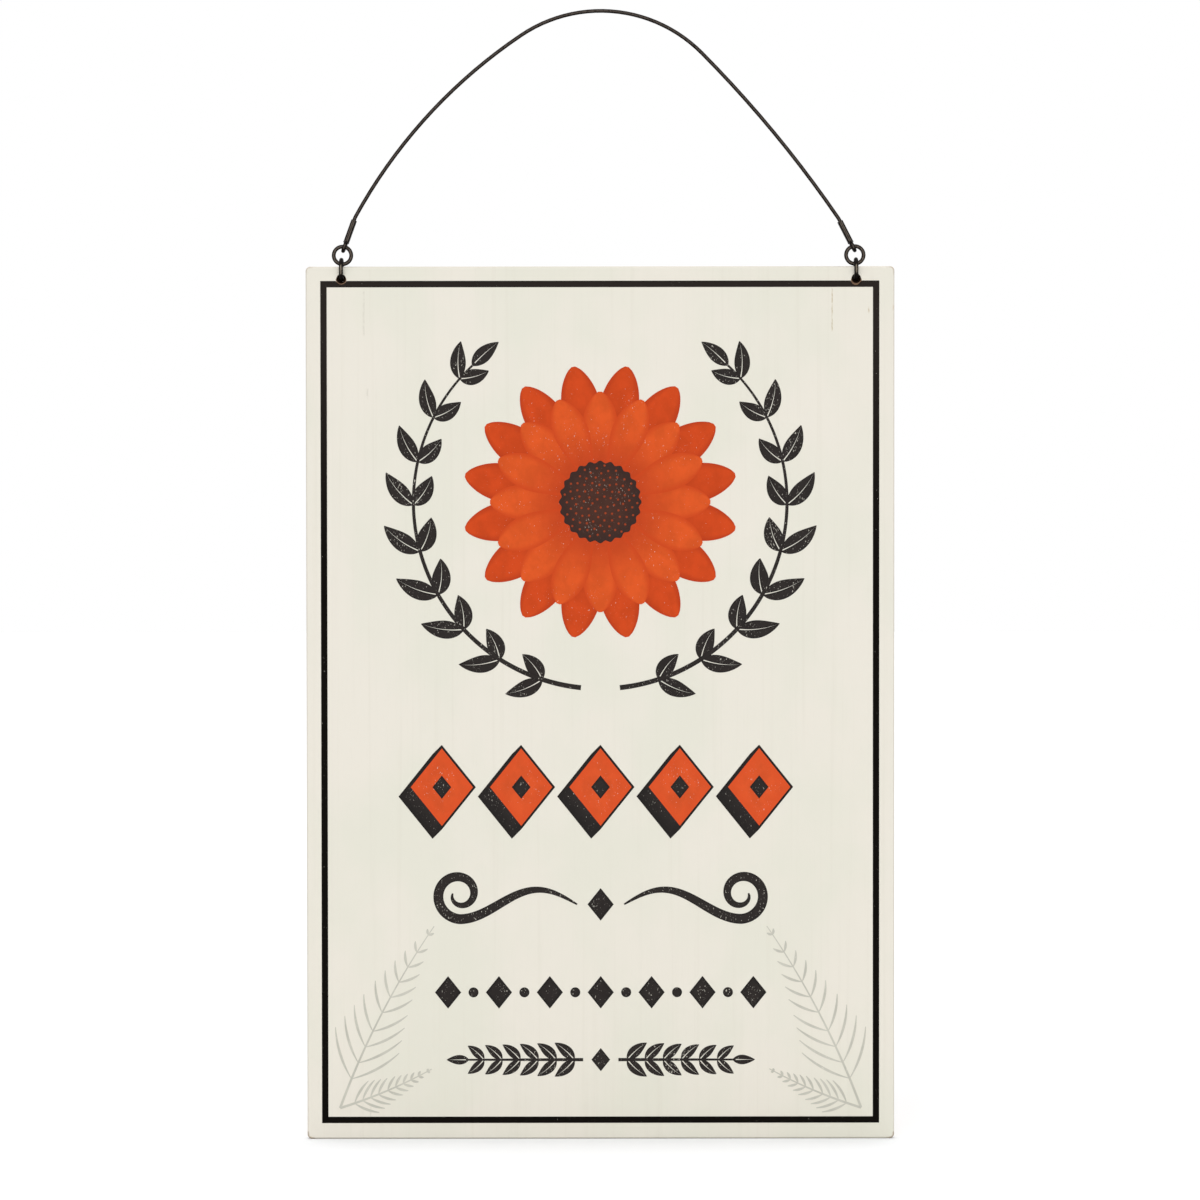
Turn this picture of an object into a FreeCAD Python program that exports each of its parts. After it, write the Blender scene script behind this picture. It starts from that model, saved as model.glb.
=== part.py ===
# Hanging wooden sign: a painted board hung by two links and two rings from one arched wire.
# Millimetres. The hang point, under the top of the wire, is the origin; +Z is up and the front faces -Y.
import FreeCAD, Part
import math
import os
import Sketcher

doc = FreeCAD.newDocument("hanging_sign")
V = FreeCAD.Vector

# Driving dimensions
SIZES = [
    ("board_width", 200.0),
    ("board_height", 297.0),
    ("board_thickness", 4.0),
    ("board_corner_radius", 1.6),
    ("board_edge_round", 0.6),
    ("hang_drop", 86.0),
    ("hole_diameter", 3.0),
    ("hole_drop", 4.2),
    ("hole_chamfer", 0.16),
    ("hole_inset_left", 12.1),
    ("hole_inset_right", 13.0),
    ("link_wire", 1.4),
    ("link_bore", 5.4),
    ("link_seat_gap", 0.08),
    ("ring_wire", 1.35),
    ("ring_bore", 4.6),
    ("ring_seat_gap", 0.08),
    ("ring_lean", 14.0),
    ("seam_angle", 1.6),
    ("ring_seam_angle", 35.0),
    ("wire_diameter", 1.3),
    ("strand_gap", 0.06),
    ("eye_bore", 1.92),
    ("eye_neck_radius", 0.68),
    ("eye_seat_gap", 0.16),
    ("ferrule_length", 7.6),
    ("ferrule_wall", 0.28),
    ("ferrule_fit", 0.02),
    ("ferrule_seam", 0.28),
    ("mouth_length", 0.65),
    ("mouth_fit", 0.15),
    ("ferrule_rest", 0.05),
    ("wire_stub", 0.5),
    ("tail_short", 0.8),
    ("wire_bend_radius", 6.0),
    ("wire_bend_angle_left", 8.9),
    ("wire_bend_angle_right", 7.4),
    ("flank_angle_left", 16.6),
    ("flank_angle_right", 10.6),
    ("crown_share", 0.5535),
    ("crown_offset", 0.3),
]
sheet = doc.addObject("Spreadsheet::Sheet", "Sizes")
for row, (alias, value) in enumerate(SIZES, start=1):
    sheet.set(f"A{row}", alias)
    sheet.set(f"B{row}", str(value))
    sheet.setAlias(f"B{row}", alias)
doc.recompute()


def size(alias):
    """A driving dimension as a number."""
    return float(getattr(sheet, alias))


def bind(thing, prop, formula):
    """Tie a property to a formula in which each driving dimension goes by its own name."""
    words = formula.replace("(", " ( ").replace(")", " ) ").split()
    names = {alias for alias, value in SIZES}
    thing.setExpression(prop, " ".join(f"Sizes.{w}" if w in names else w for w in words))


def new_body(name):
    """An empty body whose label is its file name."""
    body = doc.addObject("PartDesign::Body", name)
    body.Label = name
    return body


def new_sketch(body, name, plane):
    """A sketch on one of the body's own origin planes."""
    sketch = body.newObject("Sketcher::SketchObject", name)
    face = next(f for f in body.Origin.OriginFeatures if f.Role == plane)
    sketch.AttachmentSupport = [(face, "")]
    sketch.MapMode = "FlatFace"
    return sketch


def hold(sketch, name, formula, *constraint):
    """Add a named constraint and tie its value to a formula."""
    index = sketch.addConstraint(Sketcher.Constraint(*constraint))
    sketch.renameConstraint(index, name)
    bind(sketch, f"Constraints.{name}", formula)


# Places worked out from the driving dimensions
strand = (size("wire_diameter") + size("strand_gap")) / 2
board_top = -size("hang_drop")
hole_top = board_top - size("hole_drop") + size("hole_diameter") / 2
hole_x = {
    "left": -size("board_width") / 2 + size("hole_inset_left"),
    "right": size("board_width") / 2 - size("hole_inset_right"),
}
inward = {"left": 1.0, "right": -1.0}

# The link hangs up against the two corners of the wood above the hole
link_inner = size("link_bore") / 2
link_mid = (size("link_bore") + size("link_wire")) / 2
link_z = hole_top + math.sqrt((link_inner - size("link_seat_gap")) ** 2 - (size("board_thickness") / 2) ** 2)

# The ring's wire lies against the top of the link, and the ring leans inward to the wire's eye
ring_mid = (size("ring_bore") + size("ring_wire")) / 2
ring_lean = math.radians(size("ring_lean"))
ring_seat = (size("ring_bore") - size("link_wire")) / 2 - size("ring_seat_gap")

# The arch: its crown's radius follows the holes' spacing, and each flank leans in from the line to the crown's top
crown = size("crown_share") * (hole_x["right"] - hole_x["left"]) / 2
crown_top = V(size("crown_offset"), 0, size("wire_diameter") / 2)
wire_slope = {}
for side in ("left", "right"):
    run = abs(hole_x[side] - crown_top.x)
    rise = crown_top.z - board_top
    wire_slope[side] = math.atan2(run, rise) - math.radians(size(f"flank_angle_{side}"))

# The eye goes round the ring's wire at the far side of the ring
eye_mid = (size("eye_bore") + size("wire_diameter")) / 2
eye_neck = size("eye_neck_radius")
neck_rise = math.sqrt((eye_mid + eye_neck) ** 2 - (strand + eye_neck) ** 2)
eye_seat = (size("ring_wire") + size("wire_diameter")) / 2 + size("eye_seat_gap")


def side_places(side):
    """Ring centre, the ring wire inside the eye, the eye's centre and the ferrule's direction on one side."""
    lean = wire_slope[side] - math.radians(size(f"wire_bend_angle_{side}"))
    along_ring = V(inward[side] * math.sin(ring_lean), 0, math.cos(ring_lean))
    along_ferrule = V(inward[side] * math.sin(lean), 0, math.cos(lean))
    link_top = V(hole_x[side], strand, link_z + link_mid)
    centre = link_top + along_ring * ring_seat
    high = centre + along_ring * ring_mid
    skew = lean - ring_lean
    eye = high + along_ferrule * (eye_mid - eye_seat / math.cos(skew))
    return centre, high, eye, along_ferrule


# Board: padded panel, rounded corners, eased edges, two drilled holes with chamfered front rims
board = new_body("sign_board")
outline = new_sketch(board, "board_outline", "XZ_Plane")
half_w = size("board_width") / 2
low_edge = -size("board_height")
corners = [V(-half_w, 0, 0), V(half_w, 0, 0), V(half_w, low_edge, 0), V(-half_w, low_edge, 0)]
for i in range(4):
    outline.addGeometry(Part.LineSegment(corners[i], corners[(i + 1) % 4]), False)
for i in range(4):
    outline.addConstraint(Sketcher.Constraint("Coincident", i, 2, (i + 1) % 4, 1))
for i, way in enumerate(("Horizontal", "Vertical", "Horizontal", "Vertical")):
    outline.addConstraint(Sketcher.Constraint(way, i))
outline.addConstraint(Sketcher.Constraint("Symmetric", 0, 1, 0, 2, -1, 1))
hold(outline, "width", "board_width", "DistanceX", 0, 1, 0, 2, size("board_width"))
hold(outline, "height", "board_height", "DistanceY", 1, 2, 1, 1, size("board_height"))
panel = board.newObject("PartDesign::Pad", "board_panel")
panel.Profile = outline
panel.Midplane = True
bind(panel, "Length", "board_thickness")
doc.recompute()

corner_edges = [
    f"Edge{i}"
    for i, edge in enumerate(panel.Shape.Edges, start=1)
    if round(abs(edge.tangentAt(edge.FirstParameter).y)) == 1
]
rounded = board.newObject("PartDesign::Fillet", "board_corners")
rounded.Base = (panel, corner_edges)
bind(rounded, "Radius", "board_corner_radius")
doc.recompute()

rim_edges = [
    f"Edge{i}"
    for i, edge in enumerate(rounded.Shape.Edges, start=1)
    if round(abs(edge.tangentAt(edge.FirstParameter).y)) == 0
]
eased = board.newObject("PartDesign::Fillet", "board_edges")
eased.Base = (rounded, rim_edges)
bind(eased, "Radius", "board_edge_round")
doc.recompute()

drilling = new_sketch(board, "board_holes", "XZ_Plane")
for i, side in enumerate(("left", "right")):
    spot = V(hole_x[side], -size("hole_drop"), 0)
    drilling.addGeometry(Part.Circle(spot, V(0, 0, 1), size("hole_diameter") / 2), False)
    hold(drilling, f"diameter_{side}", "hole_diameter", "Diameter", i, size("hole_diameter"))
    hold(drilling, f"drop_{side}", "hole_drop", "DistanceY", i, 3, -1, 1, size("hole_drop"))
hold(drilling, "reach_left", "board_width / 2 - hole_inset_left", "DistanceX", 0, 3, -1, 1, -hole_x["left"])
hold(drilling, "reach_right", "board_width / 2 - hole_inset_right", "DistanceX", -1, 1, 1, 3, hole_x["right"])
holes = board.newObject("PartDesign::Pocket", "board_drilling")
holes.Profile = drilling
holes.Type = "ThroughAll"
holes.Midplane = True
doc.recompute()

front_rims = [
    f"Edge{i}"
    for i, edge in enumerate(holes.Shape.Edges, start=1)
    if isinstance(edge.Curve, Part.Circle)
    and math.isclose(edge.Curve.Radius, size("hole_diameter") / 2)
    and math.isclose(edge.Curve.Center.y, -size("board_thickness") / 2)
]
chamfer = board.newObject("PartDesign::Chamfer", "board_hole_rims")
chamfer.Base = (holes, front_rims)
bind(chamfer, "Size", "hole_chamfer")
board.Tip = chamfer
board.Placement = FreeCAD.Placement(V(0, strand, board_top), FreeCAD.Rotation())
doc.recompute()


def wire_loop(name, wire, bore):
    """A round wire bent to a ring, its two ends almost touching, as a body whose hole runs along Z."""
    body = new_body(name)
    section = new_sketch(body, f"{name}_section", "XZ_Plane")
    middle = (size(bore) + size(wire)) / 2
    section.addGeometry(Part.Circle(V(middle, 0, 0), V(0, 0, 1), size(wire) / 2), False)
    section.addConstraint(Sketcher.Constraint("PointOnObject", 0, 3, -1))
    hold(section, "wire", wire, "Diameter", 0, size(wire))
    hold(section, "middle", f"( {bore} + {wire} ) / 2", "DistanceX", -1, 1, 0, 3, middle)
    turn = body.newObject("PartDesign::Revolution", f"{name}_turn")
    turn.Profile = section
    turn.ReferenceAxis = (section, ["V_Axis"])
    bind(turn, "Angle", "360 - seam_angle")
    body.Tip = turn
    doc.recompute()
    return body


# Links: through the holes and over the board's top edge, seam at the back
# Rings: seen face-on, seam low on the outer side
ring_seam = math.radians(size("ring_seam_angle"))
to_back = FreeCAD.Rotation(V(0, 1, 0), V(0, 0, 1), V(1, 0, 0), "ZXY")
for side in ("left", "right"):
    link = wire_loop(f"link_{side}", "link_wire", "link_bore")
    link.Placement = FreeCAD.Placement(V(hole_x[side], strand, link_z), to_back)
    ring = wire_loop(f"ring_{side}", "ring_wire", "ring_bore")
    outer_low = V(-inward[side] * math.cos(ring_seam), 0, -math.sin(ring_seam))
    face_on = FreeCAD.Rotation(outer_low, V(0, 0, 0), V(0, -1, 0), "ZXY")
    ring.Placement = FreeCAD.Placement(side_places(side)[0], face_on)
doc.recompute()


def slot(sketch, radius, reach, name, formula, spread):
    """A rounded slot round the two strands, which lie one behind the other."""
    first = sketch.GeometryCount
    front = V(0, -reach, 0)
    back = V(0, reach, 0)
    z = V(0, 0, 1)
    sketch.addGeometry(Part.ArcOfCircle(Part.Circle(front, z, radius), math.pi, 2 * math.pi), False)
    sketch.addGeometry(Part.LineSegment(V(radius, -reach, 0), V(radius, reach, 0)), False)
    sketch.addGeometry(Part.ArcOfCircle(Part.Circle(back, z, radius), 0, math.pi), False)
    sketch.addGeometry(Part.LineSegment(V(-radius, reach, 0), V(-radius, -reach, 0)), False)
    for i in range(4):
        sketch.addConstraint(Sketcher.Constraint("Tangent", first + i, 2, first + (i + 1) % 4, 1))
    sketch.addConstraint(Sketcher.Constraint("Vertical", first + 1))
    sketch.addConstraint(Sketcher.Constraint("Symmetric", first, 3, first + 2, 3, -1, 1))
    hold(sketch, f"{name}_radius", formula, "Radius", first, radius)
    hold(sketch, f"{name}_spread", spread, "DistanceY", first, 3, first + 2, 3, 2 * reach)


# Ferrules: sheet rolled round the doubled wire, its lower mouth flared over the eye, its seam open along the front
bore_radius = size("wire_diameter") / 2 + size("ferrule_fit")
outer_radius = bore_radius + size("ferrule_wall")
bore_formula = "wire_diameter / 2 + ferrule_fit"
outer_formula = bore_formula + " + ferrule_wall"
strand_formula = "wire_diameter + strand_gap"
mouth_height = neck_rise + size("ferrule_rest") - size("mouth_length")
shoulder = math.sqrt(max((eye_mid + size("wire_diameter") / 2) ** 2 - mouth_height**2, 0))
mouth_reach = max(shoulder + size("mouth_fit") - bore_radius, strand)
mouth_formula = f"{2 * mouth_reach}"
for side in ("left", "right"):
    body = new_body(f"ferrule_{side}")
    section = new_sketch(body, f"ferrule_{side}_section", "XY_Plane")
    slot(section, outer_radius, strand, "outside", outer_formula, strand_formula)
    slot(section, bore_radius, strand, "inside", bore_formula, strand_formula)
    sleeve = body.newObject("PartDesign::Pad", f"ferrule_{side}_sleeve")
    sleeve.Profile = section
    bind(sleeve, "Length", "ferrule_length")
    rim = new_sketch(body, f"ferrule_{side}_rim", "XY_Plane")
    slot(rim, outer_radius, mouth_reach, "outside", outer_formula, mouth_formula)
    slot(rim, bore_radius, mouth_reach, "inside", bore_formula, mouth_formula)
    bind(rim, "AttachmentOffset.Base.z", "0 - mouth_length")
    mouth = body.newObject("PartDesign::AdditiveLoft", f"ferrule_{side}_mouth")
    mouth.Profile = section
    mouth.Sections = [rim]
    mouth.Ruled = True
    doc.recompute()
    cut = new_sketch(body, f"ferrule_{side}_seam_line", "XY_Plane")
    half_seam = size("ferrule_seam") / 2
    near = -strand
    far = -strand - 2 * outer_radius
    notch = [V(-half_seam, near, 0), V(half_seam, near, 0), V(half_seam, far, 0), V(-half_seam, far, 0)]
    for i in range(4):
        cut.addGeometry(Part.LineSegment(notch[i], notch[(i + 1) % 4]), False)
    for i in range(4):
        cut.addConstraint(Sketcher.Constraint("Coincident", i, 2, (i + 1) % 4, 1))
    for i, way in enumerate(("Vertical", "Horizontal", "Vertical"), start=1):
        cut.addConstraint(Sketcher.Constraint(way, i))
    cut.addConstraint(Sketcher.Constraint("Symmetric", 0, 1, 0, 2, -2))
    hold(cut, "seam", "ferrule_seam", "DistanceX", 0, 1, 0, 2, 2 * half_seam)
    hold(cut, "near", "( wire_diameter + strand_gap ) / 2", "DistanceY", 0, 1, -1, 1, strand)
    hold(cut, "depth", "wire_diameter + 2 * ferrule_fit + 2 * ferrule_wall", "DistanceY", 1, 2, 1, 1, near - far)
    seam = body.newObject("PartDesign::Pocket", f"ferrule_{side}_seam")
    seam.Profile = cut
    seam.Type = "ThroughAll"
    seam.Midplane = True
    body.Tip = seam
    centre, high, eye, along = side_places(side)
    foot = eye + along * (neck_rise + size("ferrule_rest"))
    along_wire = FreeCAD.Rotation(V(0, 0, 0), V(0, 1, 0), along, "ZYX")
    body.Placement = FreeCAD.Placement(foot, along_wire)
    doc.recompute()


def arc(start, direction, radius, turn, axis):
    """An arc edge from start along direction, bending round axis by turn, with its end and end direction."""
    hub = start + axis.cross(direction) * radius
    half = FreeCAD.Rotation(axis, math.degrees(turn) / 2)
    full = FreeCAD.Rotation(axis, math.degrees(turn))
    middle = hub + half.multVec(start - hub)
    end = hub + full.multVec(start - hub)
    return Part.Arc(start, middle, end).toShape(), end, full.multVec(direction)


def line(start, direction, length):
    """A straight edge with its end."""
    end = start + direction * length
    return Part.LineSegment(start, end).toShape(), end


def half_wire(side):
    """Edges of one half of the wire, from the tail's end through the eye and up to the flank's start."""
    centre, high, eye, along = side_places(side)
    back = V(0, 1, 0)
    round_eye = along.cross(back)
    tail = size("ferrule_rest") + size("ferrule_length") - size("tail_short")
    leg = size("ferrule_rest") + size("ferrule_length") + size("wire_stub")
    neck_turn = math.acos((strand + eye_neck) / (eye_mid + eye_neck))
    spot = eye + back * strand + along * (neck_rise + tail)
    way = along * -1
    edges = []
    edge, spot = line(spot, way, tail)
    edges.append(edge)
    for radius, turn, spin in (
        (eye_neck, neck_turn, 1),
        (eye_mid, math.pi + 2 * neck_turn, -1),
        (eye_neck, neck_turn, 1),
    ):
        edge, spot, way = arc(spot, way, radius, turn, round_eye * -spin)
        edges.append(edge)
    edge, spot = line(spot, way, leg)
    edges.append(edge)
    bend = math.radians(size(f"wire_bend_angle_{side}"))
    edge, spot, way = arc(spot, way, size("wire_bend_radius"), bend, V(0, inward[side], 0))
    edges.append(edge)
    return edges, spot, way


# Wire path: each half ends in a flank that runs smoothly into the crown
crown_hub = crown_top - V(0, 0, crown)
halves = {}
for side in ("left", "right"):
    edges, spot, way = half_wire(side)
    to_hub = V(0, inward[side], 0).cross(way)
    offset = spot - crown_hub
    flank = (crown**2 - offset.dot(offset)) / (2 * (offset.dot(to_hub) + crown))
    flank_hub = spot + to_hub * flank
    join_way = (crown_hub - flank_hub).normalize()
    join = flank_hub + join_way * flank
    half_way = (spot - flank_hub).normalize() + join_way
    middle = flank_hub + half_way.normalize() * flank
    edges.append(Part.Arc(spot, middle, join).toShape())
    halves[side] = (edges, join)
crown_edge = Part.Arc(halves["left"][1], crown_top, halves["right"][1]).toShape()
path_edges = halves["left"][0] + [crown_edge] + halves["right"][0][::-1]
path = doc.addObject("Part::Feature", "wire_path")
path.Shape = Part.Wire(path_edges)

# Wire: a round section carried along the path
first_edge = path_edges[0]
tail_end = first_edge.Vertexes[0].Point
tail_way = first_edge.tangentAt(first_edge.FirstParameter)
wire_section = doc.addObject("Part::Circle", "wire_section")
bind(wire_section, "Radius", "wire_diameter / 2")
wire_section.Placement = FreeCAD.Placement(tail_end, FreeCAD.Rotation(V(0, 0, 1), tail_way))
doc.recompute()
hanger = doc.addObject("Part::Sweep", "hanger_wire")
hanger.Label = "hanger_wire"
hanger.Sections = [wire_section]
hanger.Spine = (path, [f"Edge{i}" for i in range(1, len(path_edges) + 1)])
hanger.Solid = True
hanger.Frenet = False
doc.recompute()

# Checks, and one file for each piece
pieces = ["sign_board", "hanger_wire"]
pieces += [f"{kind}_{side}" for kind in ("ferrule", "ring", "link") for side in ("left", "right")]
for thing in doc.Objects:
    if "Invalid" in thing.State or "Error" in thing.State:
        raise RuntimeError(f"{thing.Name} did not build: {thing.State}")
os.makedirs("parts", exist_ok=True)
for name in pieces:
    shape = doc.getObject(name).Shape
    if shape.isNull() or not shape.isValid() or len(shape.Solids) != 1:
        raise RuntimeError(f"{name} is not one valid solid")
    shape.exportStep(f"parts/{name}.step")
    box = shape.BoundBox
    print(f"{name}: volume {shape.Volume:.3f} mm3, X {box.XMin:.2f}..{box.XMax:.2f},", end=" ")
    print(f"Y {box.YMin:.2f}..{box.YMax:.2f}, Z {box.ZMin:.2f}..{box.ZMax:.2f}")
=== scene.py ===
# %% [markdown]
# # A painted wooden sign on a wire hanger
# The sign is a thin board, painted off-white and printed on its front. Two wire links go through
# drilled holes and over the top edge. Each link hangs in a ring, and each ring in an end of one arched wire.
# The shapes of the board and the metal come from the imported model. This lesson gives them their
# finishes, prints the front, and sets up the light and the camera.

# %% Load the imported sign
import functools
import math
import bmesh
import bpy
import numpy as np
from mathutils import Matrix, Vector


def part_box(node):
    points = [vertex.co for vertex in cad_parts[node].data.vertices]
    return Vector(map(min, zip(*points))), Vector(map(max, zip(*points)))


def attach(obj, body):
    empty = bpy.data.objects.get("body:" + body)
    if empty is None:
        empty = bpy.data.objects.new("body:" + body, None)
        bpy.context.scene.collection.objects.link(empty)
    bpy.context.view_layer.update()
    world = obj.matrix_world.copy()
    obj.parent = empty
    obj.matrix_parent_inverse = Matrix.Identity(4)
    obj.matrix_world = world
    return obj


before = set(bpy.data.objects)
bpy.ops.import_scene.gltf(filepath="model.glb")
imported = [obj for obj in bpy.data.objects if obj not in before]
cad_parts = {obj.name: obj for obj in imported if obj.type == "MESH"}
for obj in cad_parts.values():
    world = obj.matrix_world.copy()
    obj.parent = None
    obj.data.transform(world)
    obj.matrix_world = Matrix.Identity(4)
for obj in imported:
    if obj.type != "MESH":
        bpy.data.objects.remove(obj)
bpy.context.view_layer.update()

MM = 0.001
board_low, board_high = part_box("sign_board")
front_y = board_low.y
FACE_Y = front_y / MM
board_size = [round(v / MM, 2) for v in board_high - board_low]
print("board", board_size, "mm, front face at y =", round(FACE_Y, 2), "mm")

# %% [markdown]
# ## Camera
# The picture was taken almost straight on, from a little above, with a long lens, so the board's sides stay
# nearly parallel. A camera could be aimed by a Track To constraint, but then its roll is hard to set.
# Here its matrix is written out: the three columns are its right, its up and the way it looks back.

# %% Aim the camera
CAMERA_DISTANCE = 1.6
CAMERA_PITCH = math.radians(1.25)
CAMERA_ROLL = math.radians(-0.058)
CAMERA_LENS = 141.15
SENSOR_WIDTH = 36
CLIP_END = 50
AIM = Vector((-0.11 * MM, front_y, -199.33 * MM))

look = Vector((0, math.cos(CAMERA_PITCH), -math.sin(CAMERA_PITCH)))
level = Vector((1, 0, 0))
upright = level.cross(look)
right = level * math.cos(CAMERA_ROLL) + upright * math.sin(CAMERA_ROLL)
up = upright * math.cos(CAMERA_ROLL) - level * math.sin(CAMERA_ROLL)
lens = bpy.data.cameras.new("camera")
lens.lens = CAMERA_LENS
lens.sensor_width = SENSOR_WIDTH
lens.clip_end = CLIP_END
camera = bpy.data.objects.new("camera", lens)
camera_turn = Matrix((right, up, -look)).transposed().to_4x4()
camera.matrix_world = Matrix.Translation(AIM - look * CAMERA_DISTANCE) @ camera_turn
bpy.context.scene.collection.objects.link(camera)
bpy.context.scene.camera = camera
print("camera stands", round(CAMERA_DISTANCE, 2), "m in front of the board")

# %% [markdown]
# ## Helpers for node trees
# A finish is a tree of nodes. Written out link by link it soon gets long, so `put` adds one node, sets its
# fields, and joins or fills its inputs. The helpers below it are short names for the nodes used most: a sum,
# a mix of two colours, a soft step between two values, and a noise stretched along the axes.


# %% Node helpers
def paint_code(red, green, blue):
    """A colour picked from a picture, 0 to 255, as the linear colour that a shader needs."""
    share = np.array([red, green, blue]) / 255
    linear = np.where(share <= 0.04045, share / 12.92, ((share + 0.055) / 1.055) ** 2.4)
    return (*linear.tolist(), 1.0)


def darker(colour, share):
    """The same colour with only a share of its light."""
    return tuple(share * c for c in colour[:3]) + (1.0,)


def put(tree, kind, inputs=None, out=0, **fields):
    """Add a node; an input given as a socket is joined, and any other is set."""
    made = tree.nodes.new(kind)
    for field, value in fields.items():
        setattr(made, field, value)
    for place, value in (inputs or {}).items():
        if isinstance(value, bpy.types.NodeSocket):
            tree.links.new(value, made.inputs[place])
        else:
            made.inputs[place].default_value = value
    return made.outputs[out] if made.outputs else made


def calc(tree, operation, *values):
    """One step of arithmetic."""
    return put(tree, "ShaderNodeMath", dict(enumerate(values)), operation=operation)


def product(tree, *values):
    """Several values multiplied."""
    return functools.reduce(functools.partial(calc, tree, "MULTIPLY"), values)


def strongest(tree, *values):
    """The largest of several values."""
    return functools.reduce(functools.partial(calc, tree, "MAXIMUM"), values)


def span(tree, across, along):
    """The slant over two legs: sqrt(across^2 + along^2)."""
    return calc(tree, "SQRT", calc(tree, "ADD", product(tree, across, across), product(tree, along, along)))


def mix(tree, share, first, second):
    """Two colours mixed: all first at share 0, all second at share 1."""
    return put(tree, "ShaderNodeMix", {0: share, 6: first, 7: second}, out=2, data_type="RGBA")


def step(tree, value, start, end, low=0.0, high=1.0):
    """A soft step from low to high as value goes from start to end."""
    inputs = {0: value, 1: start, 2: end, 3: low, 4: high}
    return put(tree, "ShaderNodeMapRange", inputs, interpolation_type="SMOOTHSTEP")


def noise(tree, place, size, detail=2.0, rough=0.5, shift=(0.0, 0.0, 0.0)):
    """Noise whose blots measure size, in millimetres along x, y and z."""
    inputs = {"Vector": place, "Location": shift, "Scale": tuple(1 / s for s in size)}
    spot = put(tree, "ShaderNodeMapping", inputs)
    return put(tree, "ShaderNodeTexNoise", {"Vector": spot, "Scale": 1.0, "Detail": detail, "Roughness": rough})


def new_finish(name):
    """An empty finish, with the place on the object in millimetres, whole and split into x, y and z."""
    finish = bpy.data.materials.new(name)
    finish.use_nodes = True
    tree = finish.node_tree
    tree.nodes.clear()
    metres = put(tree, "ShaderNodeTexCoord", out="Object")
    place = put(tree, "ShaderNodeVectorMath", {0: metres, "Scale": 1 / MM}, operation="SCALE")
    split = tree.nodes.new("ShaderNodeSeparateXYZ")
    tree.links.new(place, split.inputs[0])
    return finish, tree, place, split.outputs


def close_finish(tree, colour, roughness, height, depth_mm, **fixed):
    """End a finish with the main shader; height from 0 to 1 is a relief of depth_mm."""
    bump = put(tree, "ShaderNodeBump", {"Strength": 1.0, "Distance": depth_mm * MM, "Height": height})
    inputs = {"Base Color": colour, "Roughness": roughness, "Normal": bump}
    inputs.update({name.replace("_", " "): value for name, value in fixed.items()})
    shader = put(tree, "ShaderNodeBsdfPrincipled", inputs)
    put(tree, "ShaderNodeOutputMaterial", {"Surface": shader})


print("helpers ready")

# %% [markdown]
# ## Painted wood
# The inside of each hole is painted near black as shade, and so are a thin line on the eased edges and the foot.
# The real board is sawn wood under one coat of off-white paint. The paint is not even: it has faint warm and
# cool clouds, and thin streaks run with the grain from top to bottom. At the corners, and in spots along the
# edges, the paint is rubbed through to tan wood. Bare wood shows round the drilled holes and on the back.
# There the saw has cut a cone of year rings lengthwise, so they show as long arches.
# A picture could be wrapped round the board, but a finish worked out from the place on the board stays
# sharp at any size and needs no unwrapping.

# %% Painted wood finish
HOLES = ((-87.9, -90.2), (87.0, -90.2))
# How far below each hole the torn place lies
TORN = (0.3, 0.65)
HALF_WIDTH = (board_high.x - board_low.x) / 2 / MM
HALF_HEIGHT = (board_high.z - board_low.z) / 2 / MM
MIDDLE_Z = (board_high.z + board_low.z) / 2 / MM
BACK_Y = board_high.y / MM
FOOT_Z = board_low.z / MM
CORNER_RADIUS = 1.6
# Thin upright marks: place, top, low end and width of each
TAN_MARKS = ((78.8, -93.2, -108.5, 0.3), (91.2, -99.3, -102.4, 0.34))
GREY_MARKS = ((-80.2, -94.0, -110.0, 0.5), (-79.0, -127.0, -131.5, 0.4), (-78.4, -371.0, -377.0, 0.4))
# Year rings: how many there are in a millimetre, and how the pith runs behind the board
RINGS_PER_MM = 0.21
PITH_SIDE, PITH_WANDER = -37.0, 46.0
PITH_DEPTH, PITH_TILT, PITH_WAVE = 52.0, 0.13, 14.0
PAINT_WARM, PAINT_COOL = paint_code(238, 233, 221), paint_code(233, 231, 217)
PAINT_STREAK, PAINT_TOOTH = paint_code(222, 217, 202), paint_code(226, 222, 208)
WOOD_PALE, WOOD_TAN = paint_code(216, 187, 147), paint_code(199, 164, 122)
LATE_WOOD, PORE = paint_code(176, 137, 96), paint_code(156, 118, 82)
TORN_DARK, TORN_PALE = paint_code(74, 48, 37), paint_code(140, 111, 85)
# Near-black painted shade for the inside of each drilled hole
HOLE_PAINTED_SHADE = paint_code(26, 16, 11)
MARK_GREY, MARK_TAN = paint_code(205, 200, 186), paint_code(186, 165, 126)
# Painted shade: a darker line on the eased edges, and a darker one at the foot
RIM_PAINTED_SHADE, FOOT_PAINTED_SHADE = paint_code(188, 176, 163), paint_code(138, 131, 121)
CORNER_BROWN = paint_code(158, 138, 114)


def gap(tree, x, z, spot):
    """Distance in the plane of the board from one spot."""
    return span(tree, calc(tree, "SUBTRACT", x, spot[0]), calc(tree, "SUBTRACT", z, spot[1]))


def hairline(tree, place, x, z, at, top, low, width):
    """A thin upright mark: strong at its middle line, which wanders a little, and gone past top and low."""
    wander = calc(tree, "MULTIPLY_ADD", noise(tree, place, (60, 60, 2.4), 1.0), 0.7, at - 0.35)
    off = calc(tree, "ABSOLUTE", calc(tree, "SUBTRACT", x, wander))
    line = step(tree, off, width, width * 0.25)
    ends = product(tree, step(tree, z, low, low + 1.5), step(tree, z, top, top - 1.0))
    broken = step(tree, noise(tree, place, (9, 9, 1.6), 2.0, shift=(at, 0, 0)), 0.3, 0.62, 0.25, 1.0)
    return product(tree, line, ends, broken)


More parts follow.
